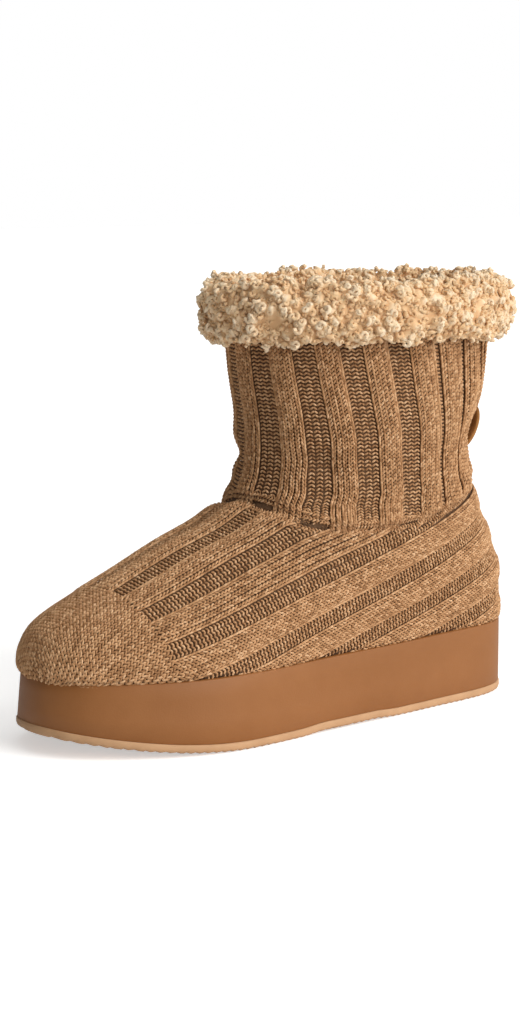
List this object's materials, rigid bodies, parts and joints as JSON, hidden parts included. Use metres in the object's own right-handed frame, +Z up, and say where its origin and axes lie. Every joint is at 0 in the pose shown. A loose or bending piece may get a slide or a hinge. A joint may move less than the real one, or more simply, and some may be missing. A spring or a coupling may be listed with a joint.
{
  "type": "mukluk boot",
  "caption": "Ankle-high ribbed knit boot on a flat platform sole, with a turned-over curly shearling collar and a pull loop at the back.",
  "frame": {"origin": "centre of the boot's box on the floor, under the middle of the sole", "axes": "+Z up, toe toward -Y, heel toward +Y, little-toe side toward +X"},
  "size_m": [0.1212, 0.269, 0.2056],
  "materials": {
    "outsole": "matt moulded rubber",
    "midsole": "smooth moulded foam",
    "insole": "short pile fleece",
    "knit": "wide rib knit of heathered yarn",
    "shearling": "curly shearling",
    "strap": "suede"
  },
  "bodies": {
    "root": {"outsole": "outsole", "midsole": "midsole", "insole": "insole", "upper": "knit", "shaft": "knit", "collar": "shearling", "pull_loop": "strap"}
  },
  "joints": []
}
